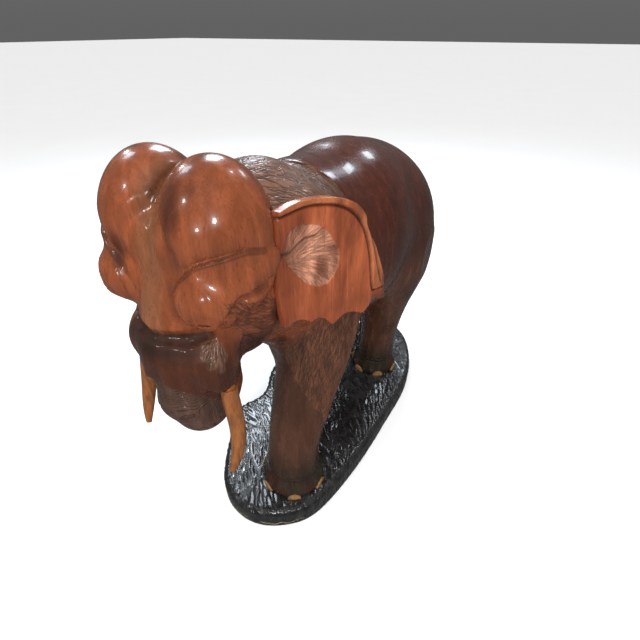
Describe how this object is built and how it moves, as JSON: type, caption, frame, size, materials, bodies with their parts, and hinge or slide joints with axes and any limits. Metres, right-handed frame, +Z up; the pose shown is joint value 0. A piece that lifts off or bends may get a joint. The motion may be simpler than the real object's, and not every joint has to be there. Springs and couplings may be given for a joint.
{
  "type": "carved elephant figurine",
  "caption": "Carved and polished dark wood elephant walking with its trunk curled under, on a black gouged rock-shaped plinth, with let-in pale tusks and toenails.",
  "frame": {"origin": "centre of the plinth's flat underside, below the middle of the elephant's stance", "axes": "+Z up, the elephant faces -Y and its left side is +X"},
  "size_m": [0.312, 0.7059, 0.62],
  "materials": {
    "body_wood": "polished lacquer over carved hair and wrinkle texture",
    "ear_wood": "polished lacquer with a carved hair patch",
    "base_wood": "black stain, glossy, covered with short gouge cuts",
    "tusk_wood": "polished lacquer",
    "nail_wood": "polished lacquer",
    "eye_bead": "polished bead",
    "dowel_wood": "raw, glued"
  },
  "bodies": {
    "root": {"body": "body_wood", "base": "base_wood", "left_ear": "ear_wood", "right_ear": "ear_wood", "left_tusk": "tusk_wood", "right_tusk": "tusk_wood", "left_eye": "eye_bead", "right_eye": "eye_bead", "dowel_left_fore": "dowel_wood", "dowel_right_fore": "dowel_wood", "dowel_left_hind": "dowel_wood", "dowel_right_hind": "dowel_wood", "toenail_left_fore_1": "nail_wood", "toenail_left_fore_2": "nail_wood", "toenail_left_fore_3": "nail_wood", "toenail_left_fore_4": "nail_wood", "toenail_right_fore_1": "nail_wood", "toenail_right_fore_2": "nail_wood", "toenail_right_fore_3": "nail_wood", "toenail_right_fore_4": "nail_wood", "toenail_left_hind_1": "nail_wood", "toenail_left_hind_2": "nail_wood", "toenail_left_hind_3": "nail_wood", "toenail_left_hind_4": "nail_wood", "toenail_right_hind_1": "nail_wood", "toenail_right_hind_2": "nail_wood", "toenail_right_hind_3": "nail_wood", "toenail_right_hind_4": "nail_wood"}
  },
  "joints": []
}
